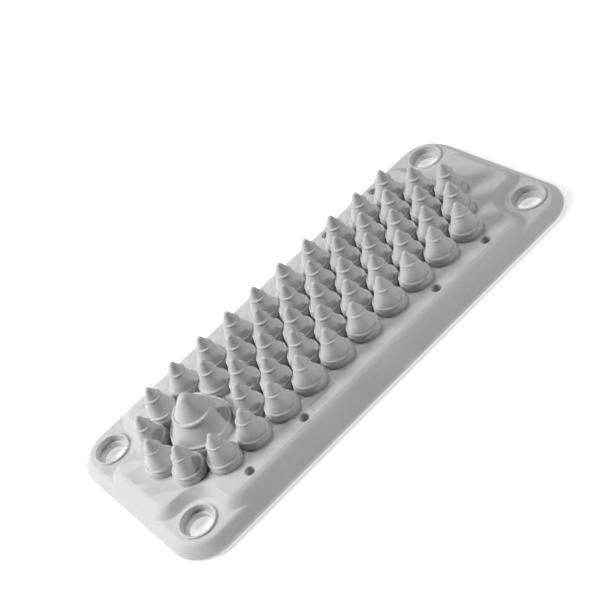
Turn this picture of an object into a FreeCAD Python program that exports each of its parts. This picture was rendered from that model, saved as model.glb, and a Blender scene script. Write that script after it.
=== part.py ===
"""A cable entry plate in moulded elastomer: a flat oblong plate with a field of hollow stepped cones.

Each cone is closed at its tip and open at the back. A cable is pushed through from the back, where
the cone is cut off or pierced at the step that suits it. Four rimmed holes take the screws.

Frame: millimetres, +X along the plate, away from the large cone, +Z out of the front face, and the
origin in the middle of the four holes, on the plane of the flat back.
"""

import FreeCAD, Part
import math
import os

Vector = FreeCAD.Vector

# Plate
PLATE_LENGTH = 148.8
PLATE_WIDTH = 63.0
PLATE_CORNER_RADIUS = 10.8
EDGE_HEIGHT = 0.6
FIELD_HEIGHT = 5.7
SIDE_RUN = 5.4
SHOULDER = 0.9

# Screw holes and the low pads round them
HOLE_SPACING_X = 130.0
HOLE_SPACING_Y = 42.5
HOLE_RADIUS = 3.5
PAD_HEIGHT = 3.3
PAD_REACH = 6.5
PAD_WALL_RUN = 2.9
PAD_INNER_RADIUS = 6.0
PAD_OUTER_RADIUS = 5.5
HOLE_RIM_RADIUS = 5.4
HOLE_RIM_HEIGHT = 0.5
HOLE_MOUTH_RADIUS = 4.7
HOLE_LEDGE_HEIGHT = 1.8
HOLE_RIM_SIDES = 24

# Field of small cones
CONE_PITCH = 10.5
COLUMN_PITCH = 8.0
COLUMNS = 5
CONES_IN_OUTER_COLUMN = 9
FIRST_CONE_X = 45.3
COLLAR_RADIUS = 4.75
LOWER_STEP_RADIUS = 4.5
LOWER_STEP_HEIGHT = 8.2
UPPER_STEP_RADIUS = 2.5
UPPER_STEP_HEIGHT = 13.1
STEP_DEPTH = 0.2
TIP_RADIUS = 0.85
TIP_HEIGHT = 16.2
CONE_SIDES = 11
MOUTH_WALL = 0.7
MOUTH_TOP = 5.5
TIP_WALL = 1.5
MIDDLE_COLUMN = COLUMNS // 2
OUTER_COLUMN_Y = COLUMN_PITCH * MIDDLE_COLUMN
LAST_CONE_X = FIRST_CONE_X - (CONES_IN_OUTER_COLUMN - 1) * CONE_PITCH

# Large cone and the cones that stand round its far side
LARGE_X = -45.0
LARGE_COLLAR_RADIUS = 9.6
LARGE_LOWER_STEP_RADIUS = 8.9
LARGE_LOWER_STEP_HEIGHT = 7.6
LARGE_UPPER_STEP_RADIUS = 5.95
LARGE_UPPER_STEP_HEIGHT = 13.0
LARGE_TIP_RADIUS = 1.4
LARGE_TIP_HEIGHT = 19.4
LARGE_MOUTH_TOP = 4.6
LARGE_CONE_SIDES = 20
RING_RADIUS = 14.6
RING_END_RADIUS = 15.4
RING_STEP_ANGLE = 38.5
RING_STEPS = 2

# Spaces between the collars, and the raised rims on the back
GAP_FLOOR_HEIGHT = 2.4
GAP_INSET = 2.7
RING_GAP_MARGIN = 2.0
BACK_GAP_DEPTH = 1.4
RIM_HEIGHT = 1.0
SEAL_WIDTH = 1.6
SEAL_HEIGHT = 0.45
SEAL_SLOPE = 0.8

# Small blind holes beside the field, and the bare place for a label
PIN_RADIUS = 1.4
PIN_DEPTH = 4.2
PIN_SIDES = 8
PIN_Y = 23.6
PIN_X = (45.0, 24.5, -27.0, -47.0)
BACK_PIN_RADIUS = 1.1
BACK_PIN_DEPTH = 1.5
BACK_PIN_SIDES = 6
BACK_PIN_Y = 21.9
BACK_PIN_X = (29.4, 8.3, -11.8, -32.9)
END_PINS = ((56.2, 17.8), (65.0, 6.4))
END_PIN_DEPTH = 0.6
LABEL_LENGTH = 9.7
LABEL_WIDTH = 3.4
LABEL_X = -19.2
LABEL_Y = -23.6
LABEL_DEPTH = 0.25
LABEL_CORNER_RADIUS = 0.6

# How far a cutting tool stands out of the face it opens
OVERSHOOT = 1.0

PARTS = "parts"


def rounded_polygon(corners, z):
    """A closed wire at height z round (x, y, radius) corners, each rounded by a tangent arc."""
    points = [Vector(x, y, z) for x, y, radius in corners]
    starts = []
    middles = []
    ends = []
    for i, (x, y, radius) in enumerate(corners):
        into = (points[i] - points[i - 1]).normalize()
        out = (points[(i + 1) % len(points)] - points[i]).normalize()
        half_turn = into.getAngle(out) / 2
        inward = (out - into).normalize()
        cut = radius * math.tan(half_turn)
        centre = points[i] + inward * (radius / math.cos(half_turn))
        starts.append(points[i] - into * cut)
        middles.append(centre - inward * radius)
        ends.append(points[i] + out * cut)
    edges = []
    for i in range(len(points)):
        edges.append(Part.Arc(starts[i], middles[i], ends[i]).toShape())
        edges.append(Part.makeLine(ends[i], starts[(i + 1) % len(points)]))
    return Part.Wire(edges)


def rectangle(half_length, half_width, radius):
    """Corners of a rounded rectangle about the origin."""
    return [
        (half_length, -half_width, radius),
        (half_length, half_width, radius),
        (-half_length, half_width, radius),
        (-half_length, -half_width, radius),
    ]


def ruled_solid(wires):
    """A solid with straight sides from each wire to the next."""
    return Part.makeLoft(wires, True, True)


def prism(corners, low, high):
    """A straight prism on a rounded polygon."""
    return Part.Face(rounded_polygon(corners, low)).extrude(Vector(0, 0, high - low))


def turned(rings, sides, x, y):
    """A closed solid about the vertical through (x, y), with flat sides between (radius, height) rings."""
    levels = []
    for radius, height in rings:
        count = sides if radius else 1
        turns = [2 * math.pi * i / sides for i in range(count)]
        levels.append([Vector(x + radius * math.cos(t), y + radius * math.sin(t), height) for t in turns])
    outlines = [level for level in (levels[0], levels[-1]) if len(level) > 1]
    for low, high in zip(levels, levels[1:]):
        for i in range(sides):
            after = (i + 1) % sides
            corners = [low[i % len(low)], low[after % len(low)], high[after % len(high)], high[i % len(high)]]
            outlines.append([p for k, p in enumerate(corners) if p != corners[k - 1]])
    faces = [Part.Face(Part.makePolygon(outline + outline[:1])) for outline in outlines]
    return Part.makeSolid(Part.makeShell(faces))


def side_inset(z):
    """How far the slanted side stands in from the outer edge at height z."""
    return SIDE_RUN * (z - EDGE_HEIGHT) / (FIELD_HEIGHT - EDGE_HEIGHT)


def plate_corners(inset):
    """The plate's outline, moved in by an inset."""
    return rectangle(PLATE_LENGTH / 2 - inset, PLATE_WIDTH / 2 - inset, PLATE_CORNER_RADIUS - inset)


def field_corners(z, extra_inset):
    """The raised field's outline at height z: an oblong with its corners cut out round the holes."""
    inset = side_inset(z) + extra_inset
    rise = (z - PAD_HEIGHT) / (FIELD_HEIGHT - PAD_HEIGHT)
    reach = PAD_REACH + PAD_WALL_RUN * rise + extra_inset
    half_length = PLATE_LENGTH / 2 - inset
    half_width = PLATE_WIDTH / 2 - inset
    notch_x = HOLE_SPACING_X / 2 - reach
    notch_y = HOLE_SPACING_Y / 2 - reach
    outer = PAD_OUTER_RADIUS - PAD_WALL_RUN * rise
    inner = PAD_INNER_RADIUS + PAD_WALL_RUN * rise
    quarter = [
        (half_length, notch_y, outer),
        (notch_x, notch_y, inner),
        (notch_x, half_width, outer),
    ]
    corners = []
    for sign_x, sign_y in ((1, 1), (-1, 1), (-1, -1), (1, -1)):
        mirrored = [(sign_x * x, sign_y * y, radius) for x, y, radius in quarter]
        corners += mirrored if sign_x * sign_y > 0 else reversed(mirrored)
    return corners


def hole_centres():
    """Centres of the four screw holes."""
    half_x = HOLE_SPACING_X / 2
    half_y = HOLE_SPACING_Y / 2
    return [(half_x, half_y), (-half_x, half_y), (-half_x, -half_y), (half_x, -half_y)]


def lattice_centres():
    """Centres of the small cones in staggered columns, with room left for the large cone."""
    centres = []
    for column in range(-MIDDLE_COLUMN, MIDDLE_COLUMN + 1):
        start = FIRST_CONE_X + (MIDDLE_COLUMN - abs(column)) * CONE_PITCH / 2
        y = column * COLUMN_PITCH
        centres += [(start - i * CONE_PITCH, y) for i in range(CONES_IN_OUTER_COLUMN)]
    return centres


def ring_centres():
    """Centres of the small cones round the end side of the large cone, from its +Y side to its -Y side."""
    centres = []
    for step in range(RING_STEPS, -RING_STEPS - 1, -1):
        radius = RING_END_RADIUS if abs(step) == RING_STEPS else RING_RADIUS
        angle = math.radians(180 - step * RING_STEP_ANGLE)
        centres.append((LARGE_X + radius * math.cos(angle), radius * math.sin(angle)))
    return centres


def small_centres():
    """Centres of all the small cones."""
    return lattice_centres() + ring_centres()


def pointed_end():
    """Corners of the line through the outermost cones at the end away from the large cone."""
    point_x = FIRST_CONE_X + CONE_PITCH * MIDDLE_COLUMN / 2
    return [(FIRST_CONE_X, -OUTER_COLUMN_Y), (point_x, 0), (FIRST_CONE_X, OUTER_COLUMN_Y)]


def ring_end():
    """Corners of the line through the ring of cones and the last cones of the outer columns."""
    return [(LAST_CONE_X, OUTER_COLUMN_Y)] + ring_centres() + [(LAST_CONE_X, -OUTER_COLUMN_Y)]


def polygon(corners, z):
    """A closed wire at height z with sharp corners."""
    return Part.makePolygon([Vector(x, y, z) for x, y in corners + corners[:1]])


def cornered_prism(corners, low, high):
    """A straight prism on a polygon with sharp corners."""
    return Part.Face(polygon(corners, low)).extrude(Vector(0, 0, high - low))


def gap_space():
    """The space between the collars, which stops inside the outer columns but reaches out past the ring."""
    up = Vector(0, 0, FIELD_HEIGHT)
    columns = pointed_end() + [(LARGE_X, OUTER_COLUMN_Y), (LARGE_X, -OUTER_COLUMN_Y)]
    inside = polygon(columns, GAP_FLOOR_HEIGHT).makeOffset2D(-GAP_INSET)
    round_ring = polygon(ring_end(), GAP_FLOOR_HEIGHT).makeOffset2D(RING_GAP_MARGIN)
    return Part.Face(inside).extrude(up).fuse(Part.Face(round_ring).extrude(up))


def back_gaps(collars):
    """The hollows on the back between the large collar and the collars round it."""
    rows = range(MIDDLE_COLUMN)
    inner = [(LAST_CONE_X + (MIDDLE_COLUMN - row) * CONE_PITCH / 2, row * COLUMN_PITCH) for row in rows]
    corners = inner + ring_end() + [(x, -y) for x, y in inner[:0:-1]]
    return cornered_prism(corners, -RIM_HEIGHT, BACK_GAP_DEPTH - RIM_HEIGHT).cut(collars)


def plate():
    """The low plate with its slanted side, and the raised field on it."""
    edge = prism(plate_corners(0), 0, EDGE_HEIGHT)
    low_wires = [rounded_polygon(plate_corners(side_inset(z)), z) for z in (EDGE_HEIGHT, PAD_HEIGHT)]
    shoulder_z = FIELD_HEIGHT - SHOULDER / 2
    field_wires = [
        rounded_polygon(field_corners(PAD_HEIGHT, 0), PAD_HEIGHT),
        rounded_polygon(field_corners(shoulder_z, 0), shoulder_z),
        rounded_polygon(field_corners(FIELD_HEIGHT, SHOULDER / 2), FIELD_HEIGHT),
    ]
    return edge.multiFuse([ruled_solid(low_wires), ruled_solid(field_wires)])


def cone(x, y, sides, collar, steps, tip, tip_z):
    """One closed cone on its collar, from the back of the plate to its blunt tip."""
    (lower, lower_z), (upper, upper_z) = steps
    rings = [
        (collar, -RIM_HEIGHT),
        (lower, lower_z),
        (lower - STEP_DEPTH, lower_z),
        (upper - STEP_DEPTH, upper_z - STEP_DEPTH),
        (upper, upper_z),
        (tip, tip_z),
    ]
    return turned(rings, sides, x, y)


def hollow(x, y, sides, mouth, mouth_z, top_z):
    """The inside of one cone: a round mouth open at the back, and a cone to a closed point."""
    return turned([(mouth, -RIM_HEIGHT - OVERSHOOT), (mouth, mouth_z), (0, top_z)], sides, x, y)


def small_cone(x, y):
    """One small cone."""
    steps = ((LOWER_STEP_RADIUS, LOWER_STEP_HEIGHT), (UPPER_STEP_RADIUS, UPPER_STEP_HEIGHT))
    return cone(x, y, CONE_SIDES, COLLAR_RADIUS, steps, TIP_RADIUS, TIP_HEIGHT)


def large_cone():
    """The large cone."""
    steps = (
        (LARGE_LOWER_STEP_RADIUS, LARGE_LOWER_STEP_HEIGHT),
        (LARGE_UPPER_STEP_RADIUS, LARGE_UPPER_STEP_HEIGHT),
    )
    return cone(LARGE_X, 0, LARGE_CONE_SIDES, LARGE_COLLAR_RADIUS, steps, LARGE_TIP_RADIUS, LARGE_TIP_HEIGHT)


def all_hollows():
    """The insides of all the cones."""
    top = TIP_HEIGHT - TIP_WALL
    mouth = COLLAR_RADIUS - MOUTH_WALL
    hollows = [hollow(x, y, CONE_SIDES, mouth, MOUTH_TOP, top) for x, y in small_centres()]
    mouth = LARGE_COLLAR_RADIUS - MOUTH_WALL
    top = LARGE_TIP_HEIGHT - TIP_WALL
    hollows.append(hollow(LARGE_X, 0, LARGE_CONE_SIDES, mouth, LARGE_MOUTH_TOP, top))
    return hollows


def seal():
    """The low lip round the edge of the back, with a sloped inner side."""
    outer = prism(plate_corners(0), -SEAL_HEIGHT, 0)
    inner = ruled_solid([
        rounded_polygon(plate_corners(SEAL_WIDTH), -SEAL_HEIGHT),
        rounded_polygon(plate_corners(SEAL_WIDTH + SEAL_SLOPE), 0),
    ])
    return outer.cut(inner)


def hole_rims():
    """The low round rims on the pads."""
    rings = [(HOLE_RIM_RADIUS, 0), (HOLE_RIM_RADIUS, PAD_HEIGHT + HOLE_RIM_HEIGHT)]
    return [turned(rings, HOLE_RIM_SIDES, x, y) for x, y in hole_centres()]


def hole_tools():
    """What is cut out for the screws: a wide mouth above a ledge, and a through hole."""
    mouth = [(HOLE_MOUTH_RADIUS, HOLE_LEDGE_HEIGHT), (HOLE_MOUTH_RADIUS, FIELD_HEIGHT)]
    tools = []
    for x, y in hole_centres():
        tools.append(Part.makeCylinder(HOLE_RADIUS, FIELD_HEIGHT, Vector(x, y, -SEAL_HEIGHT)))
        tools.append(turned(mouth, HOLE_RIM_SIDES, x, y))
    return tools


def field_tools():
    """What is cut out of the front of the raised field: blind holes and the label's place."""
    top = FIELD_HEIGHT + OVERSHOOT
    rings = [(PIN_RADIUS, FIELD_HEIGHT - PIN_DEPTH), (PIN_RADIUS, top)]
    tools = [turned(rings, PIN_SIDES, x, side * PIN_Y) for x in PIN_X for side in (1, -1)]
    corners = rectangle(LABEL_LENGTH / 2, LABEL_WIDTH / 2, LABEL_CORNER_RADIUS)
    label = prism(corners, FIELD_HEIGHT - LABEL_DEPTH, top)
    label.translate(Vector(LABEL_X, LABEL_Y, 0))
    return tools + [label]


def back_pins():
    """The small blind holes in the back, beside the field and at the plate's ends."""
    places = [(x, BACK_PIN_Y, BACK_PIN_DEPTH) for x in BACK_PIN_X]
    places += [(side * x, y, END_PIN_DEPTH) for x, y in END_PINS for side in (1, -1)]
    pins = []
    for x, y, depth in places:
        rings = [(BACK_PIN_RADIUS, -OVERSHOOT), (BACK_PIN_RADIUS, depth)]
        pins += [turned(rings, BACK_PIN_SIDES, x, side * y) for side in (1, -1)]
    return pins


def entry_plate():
    """The whole moulding as one solid."""
    cones = [small_cone(x, y) for x, y in small_centres()] + [large_cone()]
    web = cornered_prism(pointed_end() + ring_end(), -RIM_HEIGHT, 0)
    body = plate().cut(gap_space())
    body = body.multiFuse(cones + hole_rims() + [web, seal()])
    body = body.cut(all_hollows() + hole_tools() + field_tools() + back_pins() + [back_gaps(cones)])
    return body.removeSplitter()


os.makedirs(PARTS, exist_ok=True)
solid = entry_plate()
solid.exportStep(os.path.join(PARTS, "entry_plate.step"))
print("solids", len(solid.Solids), "valid", solid.isValid(), "faces", len(solid.Faces), solid.BoundBox)
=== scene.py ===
"""Looks of the cable entry plate: its moulded skin, material, light and camera, round the fixed frame."""

import math

import bpy
import numpy as np
from mathutils import Matrix, Vector


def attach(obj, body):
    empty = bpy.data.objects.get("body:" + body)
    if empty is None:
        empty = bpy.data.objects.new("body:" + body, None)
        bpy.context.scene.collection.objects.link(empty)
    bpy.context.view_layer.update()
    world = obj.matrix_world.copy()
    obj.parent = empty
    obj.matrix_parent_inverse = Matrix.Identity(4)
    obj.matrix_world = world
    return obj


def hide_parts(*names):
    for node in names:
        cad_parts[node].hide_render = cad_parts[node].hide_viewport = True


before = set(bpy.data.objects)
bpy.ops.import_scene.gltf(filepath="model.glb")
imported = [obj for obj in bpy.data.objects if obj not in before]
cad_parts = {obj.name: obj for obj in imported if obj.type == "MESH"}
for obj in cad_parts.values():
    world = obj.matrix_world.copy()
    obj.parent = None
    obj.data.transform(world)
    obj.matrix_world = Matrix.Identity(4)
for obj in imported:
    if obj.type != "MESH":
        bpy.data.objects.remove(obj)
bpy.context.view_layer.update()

MM = 0.001

# Plate, in millimetres
PLATE_LENGTH = 148.8
PLATE_WIDTH = 63.0
PLATE_CORNER_RADIUS = 10.8
EDGE_HEIGHT = 0.6
FIELD_HEIGHT = 5.7
SIDE_RUN = 5.4
SIDE_CURVE = 1.15
SHOULDER_BLEND = 0.9
SEAL_WIDTH = 1.6
SEAL_HEIGHT = 0.45
SEAL_SLOPE = 0.8
SEAL_BEVEL = 0.07

# Corner pads and screw holes
HOLE_SPACING_X = 130.0
HOLE_SPACING_Y = 42.5
PAD_HEIGHT = 3.3
PAD_REACH = 6.5
PAD_WALL_RUN = 2.9
PAD_INNER_RADIUS = 6.0
PAD_OUTER_RADIUS = 5.5
PAD_FOOT_BLEND = 0.3
PAD_TOP_BLEND = 0.3
PAD_EDGE_BLEND = 0.6
HOLE_RADIUS = 3.5
HOLE_RIM_RADIUS = 5.4
HOLE_RIM_HEIGHT = 0.5
HOLE_MOUTH_RADIUS = 4.7
HOLE_LEDGE_HEIGHT = 1.8
HOLE_LEDGE_DROP = 0.45
HOLE_LEDGE_ROUND = 0.4
HOLE_BEVEL = 0.2
HOLE_RIM_ROUND = 0.24
HOLE_RIM_INSIDE = 4

# Steps out and up: the rim's foot from the rim's radius and the pad, the mouth's corner from the mouth's
# radius and the ledge, and its edge from the mouth's radius and the rim's top
HOLE_RIM_FOOT = ((0.3, -2.3), (0.2, 0), (0.04, 0.06))
HOLE_MOUTH_CORNER = ((-0.3, -0.05), (-0.14, 0.12))
HOLE_MOUTH_EDGE = ((-0.06, -0.3), (0.04, -0.08))

# Cones
CONE_PITCH = 10.5
COLUMN_PITCH = 8.0
COLUMNS = 5
CONES_IN_OUTER_COLUMN = 9
FIRST_CONE_X = 45.3
COLLAR_RADIUS = 4.75
MOUTH_WALL = 0.7
MOUTH_TOP = 5.5
MOUTH_EDGE = 0.1
HOLLOW_TOP = 14.7
HOLLOW_POINT_RADIUS = 0.3
LARGE_X = -45.0
LARGE_COLLAR_RADIUS = 9.6
LARGE_MOUTH_TOP = 4.6
LARGE_HOLLOW_TOP = 17.9
RING_RADIUS = 14.6
RING_END_RADIUS = 15.4
RING_STEP_ANGLE = 38.5
RING_STEPS = 2
MIDDLE_COLUMN = COLUMNS // 2
OUTER_COLUMN_Y = COLUMN_PITCH * MIDDLE_COLUMN
LAST_CONE_X = FIRST_CONE_X - (CONES_IN_OUTER_COLUMN - 1) * CONE_PITCH
LAST_MIDDLE_X = LAST_CONE_X + CONE_PITCH * MIDDLE_COLUMN / 2

# Outsides of the cones from the bottom up: points are (radius, height), and each bead and tip is
# an arc of (centre, radius, start and end angle in degrees, steps)
SMALL_CONE = {
    "drum": [(4.9, 0.5), (4.9, 6.4), (4.82, 6.8), (4.62, 7.14), (4.38, 7.4)],
    "bead": ((4.28, 7.96), 0.36, -50, 125, 7),
    "flare": [(3.96, 8.36), (3.84, 8.65), (3.48, 9.6), (2.58, 12.3), (2.3, 12.58)],
    "upper_bead": ((2.22, 12.97), 0.4, -70, 105, 6),
    "nose": [(2.02, 13.48), (1.9, 13.85), (1.43, 14.95), (0.96, 15.85)],
    "tip": ((0.17, 15.93), 0.67, 15, 85, 4),
    "height": 16.63,
}
LARGE_CONE = {
    "drum": [(9.6, 0.5), (9.5, 5.5), (9.42, 6.3), (9.2, 6.78), (8.84, 7.02)],
    "bead": ((8.66, 7.46), 0.42, -55, 120, 9),
    "flare": [(8.34, 7.92), (8.12, 8.3), (7.2, 9.75), (6.1, 11.4), (5.5, 12.15), (5.3, 12.36)],
    "upper_bead": ((5.4, 12.95), 0.57, -80, 130, 12),
    "nose": [(4.9, 13.5), (4.66, 13.9), (3.4, 15.85), (2.3, 17.7)],
    "tip": ((0, 17.6), 1.92, 20, 82, 8),
    "height": 19.53,
}

# Spaces between the collars, and the rims on the back
GAP_FLOOR_HEIGHT = 2.4
GAP_INSET = 2.7
RING_GAP_MARGIN = 2.0
BACK_GAP_DEPTH = 1.4
RIM_HEIGHT = 1.0
RIM_BEVEL = 0.25

# Small blind holes and the bare place for a label
PIN_RADIUS = 1.4
PIN_DEPTH = 4.2
PIN_Y = 23.6
PIN_X = (45.0, 24.5, -27.0, -47.0)
BACK_PIN_RADIUS = 1.1
BACK_PIN_DEPTH = 1.5
BACK_PIN_Y = 21.9
BACK_PIN_X = (29.4, 8.3, -11.8, -32.9)
END_PINS = ((56.2, 17.8), (65.0, 6.4))
END_PIN_DEPTH = 0.6
PIN_BEVEL = 0.2
PIN_TAPER = 0.9
LABEL_LENGTH = 9.7
LABEL_WIDTH = 3.4
LABEL_X = -19.2
LABEL_Y = -23.6
LABEL_DEPTH = 0.25
LABEL_CORNER_RADIUS = 0.6
LABEL_SLOPE = 0.3

# Look of the elastomer: each noise has a scale per metre and a detail, and heights are in metres
TONES = (0.555, 0.625)
TONE_RANGE = (0.35, 0.65)
ROUGHNESSES = (0.48, 0.68)
ROUGHNESS_RANGE = (0.3, 0.7)
CLOUD = (60, 3)
MOTTLE = (800, 6)
MOTTLE_SHARE = 0.45
WAVE = (170, 2)
WAVE_HEIGHT = 0.00004
GRAIN = (2600, 4)
GRAIN_HEIGHT = 0.00006
BUMP_STRENGTH = 0.3

# Fineness of the mesh
SMALL_CONE_SIDES = 36
LARGE_CONE_SIDES = 80
HOLE_SIDES = 64
PIN_SIDES = 24
CORNER_STEPS = 16
RIM_STEPS = 3
HOLE_EDGE_STEPS = 5
SHARP_ANGLE = 38

# Levels of the sides: start, end and step of the low plate's insets, the fine steps above the pads and
# below the field's top, and how the rounded curves are read
SIDE_INSETS = ((0, 2, 0.4), (2, 4.2, 0.2))
FIELD_STEPS = [0.02, 0.045, 0.08, 0.12, 0.17, 0.23, 0.3, 0.4, 0.52, 0.7, 0.95]
FIELD_FOOT_RISE = 0.2
FIELD_FOOT_DROP = 0.3
CURVE_STEP = 0.01
SIDE_MARGIN = 2
WALL_MARGIN = 1

# How far a cutting tool stands out of the face it opens, and how far a fused solid is set in
OVERSHOOT = 1.0
SET_IN = 0.01

# Camera, in millimetres and degrees
LENS = 75.95
SENSOR_WIDTH = 36
CAMERA_PLACE = (-102.87, -245.33, 239.28)
CAMERA_AZIMUTH = 67.79
CAMERA_TILT = -40.21
CAMERA_ROLL = -28.46
CLIP_METRES = (0.01, 10)

# Floor, and the lights: name, azimuth and elevation in degrees, distance and size in metres, watts
FLOOR_REACH = 4000
FLOOR_DROP = 0.01
FLOOR_TONE = 0.9
FLOOR_ROUGHNESS = 0.9
FLOOR_GLOW = 0.38
LIGHTS = (
    ("key", 148, 37, 0.6, 0.28, 3.25),
    ("fill", 330, 38, 0.9, 0.06, 2.45),
    ("back", 88, 64, 0.9, 0.2, 2.25),
)


def mesh_object(name, points, faces):
    """A linked object from points in millimetres."""
    mesh = bpy.data.meshes.new(name)
    mesh.from_pydata([[c * MM for c in p] for p in points], [], faces)
    obj = bpy.data.objects.new(name, mesh)
    bpy.context.scene.collection.objects.link(obj)
    return obj


def rounded_polygon(corners, steps):
    """Points round (x, y, radius) corners, each rounded by a tangent arc of the same number of steps."""
    points = []
    for i, (x, y, radius) in enumerate(corners):
        here = Vector((x, y))
        into = (here - Vector(corners[i - 1][:2])).normalized()
        out = (Vector(corners[(i + 1) % len(corners)][:2]) - here).normalized()
        turn = into.angle_signed(out)
        side = 1 if turn < 0 else -1
        cut = radius * math.tan(abs(turn) / 2)
        centre = here - into * cut + Vector((-into.y, into.x)) * radius * side
        start = here - into * cut - centre
        points += [centre + Matrix.Rotation(-turn * k / steps, 2) @ start for k in range(steps + 1)]
    return points


def rectangle(half_length, half_width, radius):
    """Corners of a rounded rectangle about the origin."""
    return [(sx * half_length, sy * half_width, radius) for sx, sy in ((1, -1), (1, 1), (-1, 1), (-1, -1))]


def layered(name, loops):
    """A closed solid from stacked loops of equal length, each a list of 3-D points."""
    count = len(loops[0])
    points = [p for loop in loops for p in loop]
    faces = [list(range(count))[::-1]]
    for level in range(len(loops) - 1):
        for i in range(count):
            a = level * count + i
            b = level * count + (i + 1) % count
            faces.append((a, b, b + count, a + count))
    faces.append([(len(loops) - 1) * count + i for i in range(count)])
    return mesh_object(name, points, faces)


def prism(name, outline, low, high):
    """A straight prism on an outline that runs anticlockwise."""
    return layered(name, [[(p[0], p[1], z) for p in outline] for z in (low, high)])


def turned(name, profile, sides, places):
    """Closed solids about verticals at the places, from (radius, height) pairs, lowest first."""
    points = []
    faces = []
    for x, y in places:
        rows = []
        for radius, height in profile:
            row = []
            for i in range(sides if radius else 1):
                angle = 2 * math.pi * i / sides
                row.append(len(points))
                points.append((x + radius * math.cos(angle), y + radius * math.sin(angle), height))
            rows.append(row)
        if len(rows[0]) > 1:
            faces.append(rows[0][::-1])
        if len(rows[-1]) > 1:
            faces.append(rows[-1])
        for low, high in zip(rows, rows[1:]):
            for i in range(sides):
                after = (i + 1) % sides
                below = (low[i % len(low)], low[after % len(low)])
                above = (high[after % len(high)], high[i % len(high)])
                face = below + above
                faces.append([v for k, v in enumerate(face) if v != face[k - 1]])
    return mesh_object(name, points, faces)


def combine(target, tool, operation):
    """Joins the tool to the target or cuts it out, and deletes the tool."""
    modifier = target.modifiers.new("combine", "BOOLEAN")
    modifier.operation = operation
    modifier.solver = "MANIFOLD"
    modifier.object = tool
    bpy.context.view_layer.update()
    evaluated = target.evaluated_get(bpy.context.evaluated_depsgraph_get())
    mesh = bpy.data.meshes.new_from_object(evaluated)
    target.modifiers.clear()
    target.data = mesh
    bpy.data.objects.remove(tool)


def arc(centre, radius, start, end, steps):
    """Points on an arc in the (radius, height) plane, angles in degrees."""
    angles = [math.radians(start + (end - start) * k / steps) for k in range(steps + 1)]
    return [(centre[0] + radius * math.cos(a), centre[1] + radius * math.sin(a)) for a in angles]


def smooth_least(a, b, width):
    """The lesser of two heights, rounded over a width."""
    share = np.clip(0.5 + 0.5 * (b - a) / width, 0, 1)
    return b + (a - b) * share - width * share * (1 - share)


def side_heights(insets, top, blend):
    """Height of the slanted side at each inset, rounded over to a flat top."""
    rise = 1 - np.maximum(1 - insets / SIDE_RUN, 0) ** SIDE_CURVE
    slope = EDGE_HEIGHT + (FIELD_HEIGHT - EDGE_HEIGHT) * rise + np.maximum(insets - SIDE_RUN, 0)
    return smooth_least(slope, top, blend)


def wall_heights(runs):
    """Height of a pad's wall at each run in from its foot, rounded at the foot and at the top."""
    slope = PAD_HEIGHT + runs * (FIELD_HEIGHT - PAD_HEIGHT) / PAD_WALL_RUN
    foot = -smooth_least(-slope, -PAD_HEIGHT, PAD_FOOT_BLEND)
    return smooth_least(foot, FIELD_HEIGHT, PAD_TOP_BLEND)


def lattice_centres():
    """Centres of the small cones in staggered columns."""
    centres = []
    for column in range(-MIDDLE_COLUMN, MIDDLE_COLUMN + 1):
        start = FIRST_CONE_X + (MIDDLE_COLUMN - abs(column)) * CONE_PITCH / 2
        y = column * COLUMN_PITCH
        centres += [(start - i * CONE_PITCH, y) for i in range(CONES_IN_OUTER_COLUMN)]
    return centres


def ring_centres():
    """Centres of the small cones round the end side of the large cone, from its +Y side to its -Y side."""
    centres = []
    for step in range(RING_STEPS, -RING_STEPS - 1, -1):
        radius = RING_END_RADIUS if abs(step) == RING_STEPS else RING_RADIUS
        angle = math.radians(180 - step * RING_STEP_ANGLE)
        centres.append((LARGE_X + radius * math.cos(angle), radius * math.sin(angle)))
    return centres


def apart():
    """The small cones' centres in two groups, so that no cone touches another of its own group."""
    lattice = lattice_centres()
    columns = [lattice[i:i + CONES_IN_OUTER_COLUMN] for i in range(0, len(lattice), CONES_IN_OUTER_COLUMN)]
    ring = ring_centres()
    return sum(columns[::2], ring[1::2]), sum(columns[1::2], ring[::2])


def pointed_end():
    """Corners of the line through the outermost cones at the end away from the large cone."""
    point_x = FIRST_CONE_X + CONE_PITCH * MIDDLE_COLUMN / 2
    return [(FIRST_CONE_X, -OUTER_COLUMN_Y), (point_x, 0), (FIRST_CONE_X, OUTER_COLUMN_Y)]


def ring_end():
    """Corners of the line through the ring of cones and the last cones of the outer columns."""
    return [(LAST_CONE_X, OUTER_COLUMN_Y)] + ring_centres() + [(LAST_CONE_X, -OUTER_COLUMN_Y)]


def moved_out(corners, margin):
    """Corners of an outline moved out by a margin, or in by one below zero."""
    moved = []
    for i in range(len(corners)):
        here = Vector(corners[i])
        into = (here - Vector(corners[i - 1])).normalized()
        out = (Vector(corners[(i + 1) % len(corners)]) - here).normalized()
        outward = Vector((into.y + out.y, -into.x - out.x)).normalized()
        corner = here + outward * margin / math.cos(into.angle(out) / 2)
        moved.append((corner.x, corner.y))
    return moved


def mirrored(places):
    """Each place on both sides of the middle line."""
    return [(x, side * y) for x, y in places for side in (1, -1)]


def plate_loop(inset, z):
    """Points round the plate's edge, moved in by an inset."""
    corners = rectangle(PLATE_LENGTH / 2 - inset, PLATE_WIDTH / 2 - inset, PLATE_CORNER_RADIUS - inset)
    return [(p.x, p.y, z) for p in rounded_polygon(corners, CORNER_STEPS)]


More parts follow.
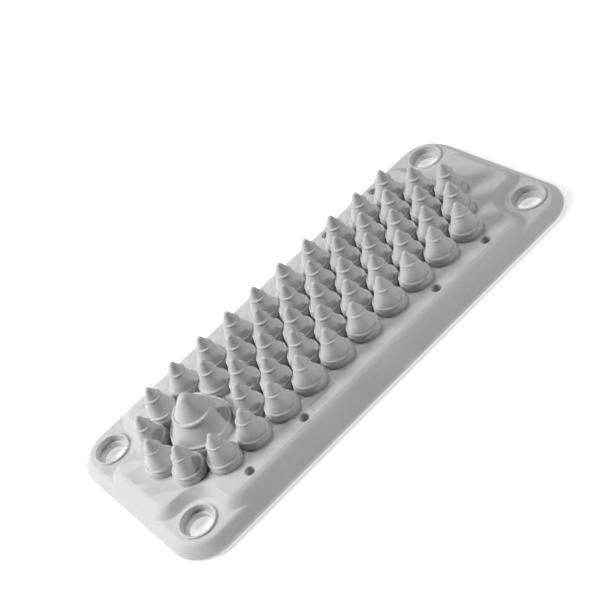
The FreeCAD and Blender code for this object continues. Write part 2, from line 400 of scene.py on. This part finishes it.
def low_plate():
    """The low plate: sealing lip, slanted side and the level of the corner pads."""
    slope = [(SEAL_WIDTH + SEAL_SLOPE, 0), (SEAL_WIDTH + SEAL_BEVEL, SEAL_BEVEL - SEAL_HEIGHT)]
    face = [(SEAL_WIDTH - SEAL_BEVEL, -SEAL_HEIGHT), (3 * SEAL_BEVEL, -SEAL_HEIGHT)]
    edge = [(SEAL_BEVEL, SEAL_BEVEL - SEAL_HEIGHT), (0, 3 * SEAL_BEVEL - SEAL_HEIGHT)]
    loops = [plate_loop(inset + SET_IN, z) for inset, z in slope + face + edge]
    insets = np.concatenate([np.arange(*run) for run in SIDE_INSETS])
    heights = side_heights(insets, PAD_HEIGHT, PAD_EDGE_BLEND)
    loops += [plate_loop(inset + SET_IN, z) for inset, z in zip(insets, heights)]
    return layered("moulded_plate", loops)


def field_loop(z, inset, reach):
    """Points round the raised field: an oblong with its corners cut out round the holes."""
    rise = (reach - PAD_REACH) / PAD_WALL_RUN
    half_length = PLATE_LENGTH / 2 - inset
    half_width = PLATE_WIDTH / 2 - inset
    notch_x = HOLE_SPACING_X / 2 - reach
    notch_y = HOLE_SPACING_Y / 2 - reach
    outer = PAD_OUTER_RADIUS - PAD_WALL_RUN * rise
    inner = PAD_INNER_RADIUS + PAD_WALL_RUN * rise
    quarter = [(half_length, notch_y, outer), (notch_x, notch_y, inner), (notch_x, half_width, outer)]
    corners = []
    for sx, sy in ((1, 1), (-1, 1), (-1, -1), (1, -1)):
        turned_quarter = [(sx * x, sy * y, radius) for x, y, radius in quarter]
        corners += turned_quarter if sx * sy > 0 else reversed(turned_quarter)
    return [(p.x, p.y, z) for p in rounded_polygon(corners, CORNER_STEPS)]


def raised_field():
    """The raised field down to inside the low plate, with rounded shoulders and pad walls."""
    insets = np.arange(0, SIDE_RUN + SIDE_MARGIN, CURVE_STEP)
    sides = side_heights(insets, FIELD_HEIGHT, SHOULDER_BLEND)
    runs = np.arange(-WALL_MARGIN, PAD_WALL_RUN + WALL_MARGIN, CURVE_STEP)
    walls = wall_heights(runs)
    levels = [EDGE_HEIGHT + FIELD_FOOT_RISE, PAD_HEIGHT - FIELD_FOOT_DROP]
    levels += [PAD_HEIGHT + step for step in FIELD_STEPS]
    levels += [FIELD_HEIGHT - step for step in FIELD_STEPS[::-1]] + [FIELD_HEIGHT]
    loops = []
    for z in levels:
        inset = np.interp(z, sides, insets)
        reach = PAD_REACH + (np.interp(z, walls, runs) if z > PAD_HEIGHT else 0)
        loops.append(field_loop(z, inset, reach))
    return layered("field", loops)


def cone_profile(cone):
    """Outside of a cone: drum, thin bead, flared cone, thicker bead, nose and rounded tip."""
    lower = cone["drum"] + arc(*cone["bead"]) + cone["flare"]
    return lower + arc(*cone["upper_bead"]) + cone["nose"] + arc(*cone["tip"]) + [(0, cone["height"])]


def hollow_profile(mouth, mouth_top, top):
    """Inside of a cone, from below the back to its closed point, with a rounded mouth."""
    outer = mouth + RIM_BEVEL
    edge = arc((outer, RIM_BEVEL - RIM_HEIGHT), RIM_BEVEL, 270, 180, RIM_STEPS)
    slope = (top - mouth_top) / mouth
    point = (HOLLOW_POINT_RADIUS, top - HOLLOW_POINT_RADIUS * slope)
    inside = [(mouth, mouth_top - MOUTH_EDGE), (mouth - MOUTH_EDGE, mouth_top + MOUTH_EDGE), point]
    return [(outer, -RIM_HEIGHT - OVERSHOOT)] + edge + inside + [(0, top - HOLLOW_POINT_RADIUS * slope / 2)]


def collar_profile(radius):
    """Outside of a collar on the back, with a rounded rim."""
    edge = arc((radius - RIM_BEVEL, RIM_BEVEL - RIM_HEIGHT), RIM_BEVEL, 270, 360, RIM_STEPS)
    return edge + [(radius, EDGE_HEIGHT)]


def pin_profile(radius, depth):
    """A blind hole's inside, with heights measured out from the face it opens."""
    wide = radius + PIN_BEVEL
    return [(radius * PIN_TAPER, -depth), (radius, -PIN_BEVEL), (wide, 0), (wide, OVERSHOOT)]


def rim_profile():
    """The low rounded rim round a screw hole."""
    top = PAD_HEIGHT + HOLE_RIM_HEIGHT
    centre = (HOLE_RIM_RADIUS - HOLE_RIM_ROUND, top - HOLE_RIM_ROUND)
    crown = arc(centre, HOLE_RIM_ROUND, 0, 90, HOLE_EDGE_STEPS)
    foot = [(HOLE_RIM_RADIUS + out, PAD_HEIGHT + up) for out, up in HOLE_RIM_FOOT]
    return foot + crown + [(HOLE_RIM_INSIDE, top)]


def bore_profile():
    """Inside of a screw hole: bore, rounded ledge and wide mouth."""
    top = PAD_HEIGHT + HOLE_RIM_HEIGHT
    low = HOLE_RADIUS + HOLE_BEVEL
    wide = HOLE_MOUTH_RADIUS + HOLE_BEVEL
    bore = [(low, -OVERSHOOT), (low, -SET_IN), (HOLE_RADIUS, HOLE_BEVEL)]
    bore.append((HOLE_RADIUS, HOLE_LEDGE_HEIGHT - HOLE_LEDGE_DROP))
    centre = (HOLE_RADIUS + HOLE_LEDGE_ROUND, HOLE_LEDGE_HEIGHT - HOLE_LEDGE_ROUND)
    ledge = arc(centre, HOLE_LEDGE_ROUND, 180, 80, HOLE_EDGE_STEPS)
    corner = [(HOLE_MOUTH_RADIUS + out, HOLE_LEDGE_HEIGHT + up) for out, up in HOLE_MOUTH_CORNER]
    edge = [(HOLE_MOUTH_RADIUS + out, top + up) for out, up in HOLE_MOUTH_EDGE]
    return bore + ledge + corner + edge + [(wide, top + SET_IN), (wide, top + OVERSHOOT)]


def back_web():
    """The raised web and collars on the back, with hollows round the large collar."""
    small = lattice_centres() + ring_centres()
    web = prism("web", pointed_end() + ring_end(), -RIM_HEIGHT, EDGE_HEIGHT)
    rows = range(MIDDLE_COLUMN)
    inner = [(LAST_CONE_X + (MIDDLE_COLUMN - row) * CONE_PITCH / 2, row * COLUMN_PITCH) for row in rows]
    corners = inner + ring_end() + [(x, -y) for x, y in inner[:0:-1]]
    pocket = prism("pocket", corners, -RIM_HEIGHT - OVERSHOOT, BACK_GAP_DEPTH - RIM_HEIGHT)
    combine(web, pocket, "DIFFERENCE")
    combine(web, turned("collars", collar_profile(COLLAR_RADIUS), SMALL_CONE_SIDES, small), "UNION")
    large = turned("collar", collar_profile(LARGE_COLLAR_RADIUS), LARGE_CONE_SIDES, [(LARGE_X, 0)])
    combine(web, large, "UNION")
    return web


def back_pins():
    """What is cut out of the back for the small blind holes and the shallow dimples."""
    holes = mirrored([(x, BACK_PIN_Y) for x in BACK_PIN_X])
    dimples = mirrored([(side * x, y) for x, y in END_PINS for side in (1, -1)])
    tools = []
    for name, depth, places in (("pins", BACK_PIN_DEPTH, holes), ("dimples", END_PIN_DEPTH, dimples)):
        profile = [(radius, -height) for radius, height in pin_profile(BACK_PIN_RADIUS, depth)[::-1]]
        tools.append(turned(name, profile, PIN_SIDES, places))
    return tools


def field_cuts():
    """What is cut out of the raised field: the spaces between collars, blind holes and the label's place."""
    top = FIELD_HEIGHT + OVERSHOOT
    notched_end = [(LAST_CONE_X, OUTER_COLUMN_Y), (LAST_MIDDLE_X, 0), (LAST_CONE_X, -OUTER_COLUMN_Y)]
    columns = moved_out(pointed_end() + notched_end, -GAP_INSET)
    inside = prism("inside", columns, GAP_FLOOR_HEIGHT, top)
    ring = [(x, y, RING_GAP_MARGIN) for x, y in moved_out(ring_centres(), RING_GAP_MARGIN)]
    outline = rounded_polygon(ring, CORNER_STEPS)
    combine(inside, prism("round ring", outline, GAP_FLOOR_HEIGHT, top), "UNION")
    front = [(radius, FIELD_HEIGHT + height) for radius, height in pin_profile(PIN_RADIUS, PIN_DEPTH)]
    pins = turned("pins", front, PIN_SIDES, mirrored([(x, PIN_Y) for x in PIN_X]))
    loops = []
    for out, z in ((-LABEL_SLOPE, FIELD_HEIGHT - LABEL_DEPTH), (0, FIELD_HEIGHT), (LABEL_SLOPE, top)):
        corners = rectangle(LABEL_LENGTH / 2 + out, LABEL_WIDTH / 2 + out, LABEL_CORNER_RADIUS + out)
        loops.append([(LABEL_X + p.x, LABEL_Y + p.y, z) for p in rounded_polygon(corners, CORNER_STEPS)])
    return [inside, pins, layered("label", loops)]


def moulding():
    """The whole plate as one closed skin."""
    small = lattice_centres() + ring_centres()
    large = [(LARGE_X, 0)]
    holes = mirrored([(side * HOLE_SPACING_X / 2, HOLE_SPACING_Y / 2) for side in (1, -1)])
    skin = low_plate()
    combine(skin, raised_field(), "UNION")
    for tool in field_cuts():
        combine(skin, tool, "DIFFERENCE")
    for group in apart():
        combine(skin, turned("cones", cone_profile(SMALL_CONE), SMALL_CONE_SIDES, group), "UNION")
    combine(skin, turned("cone", cone_profile(LARGE_CONE), LARGE_CONE_SIDES, large), "UNION")
    combine(skin, turned("rims", rim_profile(), HOLE_SIDES, holes), "UNION")
    combine(skin, turned("bores", bore_profile(), HOLE_SIDES, holes), "DIFFERENCE")
    combine(skin, back_web(), "UNION")
    inside = hollow_profile(COLLAR_RADIUS - MOUTH_WALL, MOUTH_TOP, HOLLOW_TOP)
    combine(skin, turned("hollows", inside, SMALL_CONE_SIDES, small), "DIFFERENCE")
    inside = hollow_profile(LARGE_COLLAR_RADIUS - MOUTH_WALL, LARGE_MOUTH_TOP, LARGE_HOLLOW_TOP)
    combine(skin, turned("hollow", inside, LARGE_CONE_SIDES, large), "DIFFERENCE")
    for tool in back_pins():
        combine(skin, tool, "DIFFERENCE")
    return skin


skin = moulding()
skin.data.polygons.foreach_set("use_smooth", [True] * len(skin.data.polygons))
skin.data.set_sharp_from_angle(angle=math.radians(SHARP_ANGLE))
weighted = skin.modifiers.new("weighted", "WEIGHTED_NORMAL")
weighted.keep_sharp = True


def grain_material(name):
    """Matte light grey elastomer: uneven tone, fine mottle, faint waves and a moulded grain."""
    material = bpy.data.materials.new(name)
    material.use_nodes = True
    nodes = material.node_tree.nodes
    links = material.node_tree.links
    shader = nodes["Principled BSDF"]
    place = nodes.new("ShaderNodeTexCoord")

    def noise(scale, detail):
        """A noise over the part's own coordinates."""
        node = nodes.new("ShaderNodeTexNoise")
        node.inputs["Scale"].default_value = scale
        node.inputs["Detail"].default_value = detail
        links.new(place.outputs["Object"], node.inputs["Vector"])
        return node.outputs["Fac"]

    cloud = noise(*CLOUD)
    mottle = noise(*MOTTLE)
    blend = nodes.new("ShaderNodeMix")
    blend.inputs["Factor"].default_value = MOTTLE_SHARE
    links.new(cloud, blend.inputs["A"])
    links.new(mottle, blend.inputs["B"])
    colour = nodes.new("ShaderNodeValToRGB")
    for element, position, tone in zip(colour.color_ramp.elements, TONE_RANGE, TONES):
        element.position = position
        element.color = (tone, tone, tone, 1)
    links.new(blend.outputs["Result"], colour.inputs["Fac"])
    links.new(colour.outputs["Color"], shader.inputs["Base Color"])
    rough = nodes.new("ShaderNodeMapRange")
    for socket, value in zip(("From Min", "From Max", "To Min", "To Max"), ROUGHNESS_RANGE + ROUGHNESSES):
        rough.inputs[socket].default_value = value
    links.new(mottle, rough.inputs["Value"])
    links.new(rough.outputs["Result"], shader.inputs["Roughness"])
    normal = None
    for height, distance in ((noise(*WAVE), WAVE_HEIGHT), (noise(*GRAIN), GRAIN_HEIGHT)):
        bump = nodes.new("ShaderNodeBump")
        bump.inputs["Strength"].default_value = BUMP_STRENGTH
        bump.inputs["Distance"].default_value = distance
        links.new(height, bump.inputs["Height"])
        if normal:
            links.new(normal, bump.inputs["Normal"])
        normal = bump.outputs["Normal"]
    links.new(normal, shader.inputs["Normal"])
    return material


# The joined mesh brings an empty material slot, which goes first
skin.data.materials.clear()
skin.data.materials.append(grain_material("elastomer"))
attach(skin, "root")
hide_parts("entry_plate")


def camera():
    """The photograph's viewpoint."""
    data = bpy.data.cameras.new("camera")
    data.lens = LENS
    data.sensor_width = SENSOR_WIDTH
    data.clip_start, data.clip_end = CLIP_METRES
    obj = bpy.data.objects.new("camera", data)
    bpy.context.scene.collection.objects.link(obj)
    azimuth = math.radians(CAMERA_AZIMUTH)
    tilt = math.radians(CAMERA_TILT)
    forward = Vector((math.cos(tilt) * math.cos(azimuth), math.cos(tilt) * math.sin(azimuth), math.sin(tilt)))
    turn = forward.to_track_quat("-Z", "Y").to_matrix() @ Matrix.Rotation(math.radians(CAMERA_ROLL), 3, "Z")
    obj.matrix_world = Matrix.Translation(Vector(CAMERA_PLACE) * MM) @ turn.to_4x4()
    bpy.context.scene.camera = obj


def floor():
    """A plain pale floor that glows a little, under the plate."""
    z = -RIM_HEIGHT - FLOOR_DROP
    corners = [(x * FLOOR_REACH, y * FLOOR_REACH, z) for x, y in ((-1, -1), (1, -1), (1, 1), (-1, 1))]
    obj = mesh_object("floor", corners, [(0, 1, 2, 3)])
    material = bpy.data.materials.new("floor")
    material.use_nodes = True
    inputs = material.node_tree.nodes["Principled BSDF"].inputs
    inputs["Base Color"].default_value = (FLOOR_TONE, FLOOR_TONE, FLOOR_TONE, 1)
    inputs["Roughness"].default_value = FLOOR_ROUGHNESS
    inputs["Emission Color"].default_value = (1, 1, 1, 1)
    inputs["Emission Strength"].default_value = FLOOR_GLOW
    obj.data.materials.append(material)


def light(name, azimuth, elevation, distance, size, watts):
    """A round area light that looks at the middle of the plate."""
    data = bpy.data.lights.new(name, "AREA")
    data.shape = "DISK"
    data.size = size
    data.energy = watts
    obj = bpy.data.objects.new(name, data)
    bpy.context.scene.collection.objects.link(obj)
    across = math.cos(math.radians(elevation)) * distance
    place = Vector((across * math.cos(math.radians(azimuth)), across * math.sin(math.radians(azimuth)),
                    distance * math.sin(math.radians(elevation))))
    obj.location = place
    obj.rotation_euler = (-place).to_track_quat("-Z", "Y").to_euler()


camera()
floor()
for row in LIGHTS:
    light(*row)

# All light comes from the lights and the glowing floor, and none from the world
world = bpy.data.worlds.new("world")
bpy.context.scene.world = world
world.use_nodes = True
world.node_tree.nodes["Background"].inputs["Strength"].default_value = 0
bpy.context.scene.view_settings.view_transform = "Standard"
